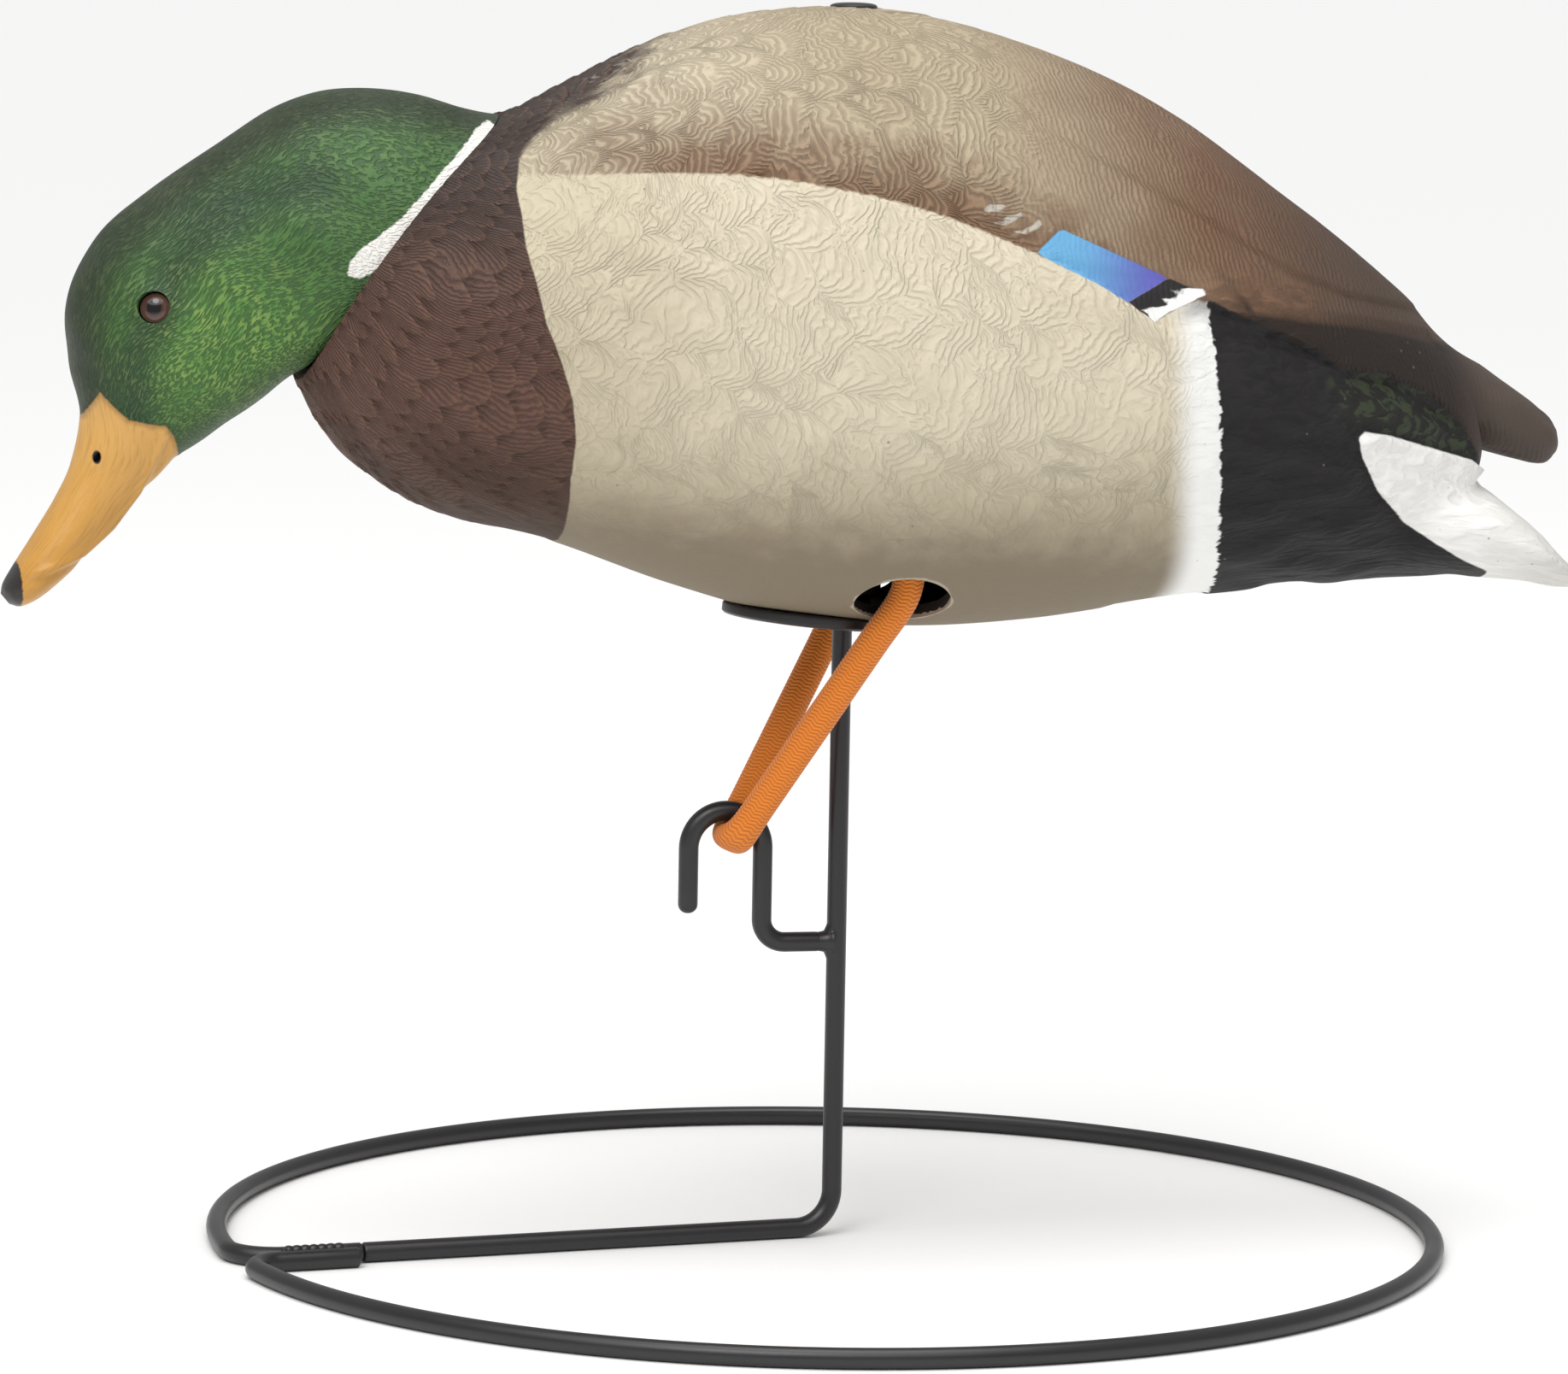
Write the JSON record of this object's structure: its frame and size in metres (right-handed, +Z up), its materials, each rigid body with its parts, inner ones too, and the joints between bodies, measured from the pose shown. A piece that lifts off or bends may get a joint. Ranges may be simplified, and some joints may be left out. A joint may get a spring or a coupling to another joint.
{
  "type": "full-body duck decoy on a ring stand",
  "caption": "Full-body mallard drake decoy, head down as if feeding, on a bent-rod ring stand, with an elastic cord for legs that springs it back as it swivels.",
  "frame": {"origin": "middle of the bounding box on the ground plane, under the decoy and 14.3 mm behind the post's axis on the bill's side", "axes": "-X the way the bill points, +X towards the tail, +Z up, +Y the duck's right side"},
  "size_m": [0.5057, 0.3964, 0.3946],
  "materials": {
    "black_steel": "satin black powder coat",
    "body_plastic": "moulded feather relief, sprayed matt paint",
    "head_plastic": "moulded feather relief, low-sheen green paint, satin yellow bill",
    "eye": "gloss",
    "black_plastic": "satin moulded",
    "pale_plastic": "natural moulded",
    "zinc": "bright zinc plate",
    "orange_cord": "braided polyester sheath"
  },
  "bodies": {
    "stand": {"base_ring": "black_steel", "arm_post": "black_steel", "cord_hook": "black_steel", "hook_weld": "black_steel", "ring_weld": "black_steel"},
    "decoy": {"body_shell": "body_plastic", "belly_flange": "black_plastic", "pivot_tube": "pale_plastic", "pivot_cup": "black_plastic", "back_cap": "black_plastic", "leg_cord": "orange_cord", "anchor_bar": "zinc", "cord_end_left": "black_plastic", "cord_end_right": "black_plastic", "bar_cap_left": "zinc", "bar_cap_right": "zinc"},
    "head": {"head_shell": "head_plastic", "eye_left": "eye", "eye_right": "eye"}
  },
  "joints": [
    {"name": "swivel", "type": "hinge", "parent": "stand", "child": "decoy", "pos_m": [0.0143, 0, 0.377], "axis": [0, 0, 1], "range_deg": [-25, 25], "stiffness_Nm_per_rad": 0.35, "deforming": ["leg_cord"]},
    {"name": "head_pull", "type": "slide", "parent": "decoy", "child": "head", "axis": [-0.797, 0, 0.604], "range_m": [0, 0.06]}
  ]
}
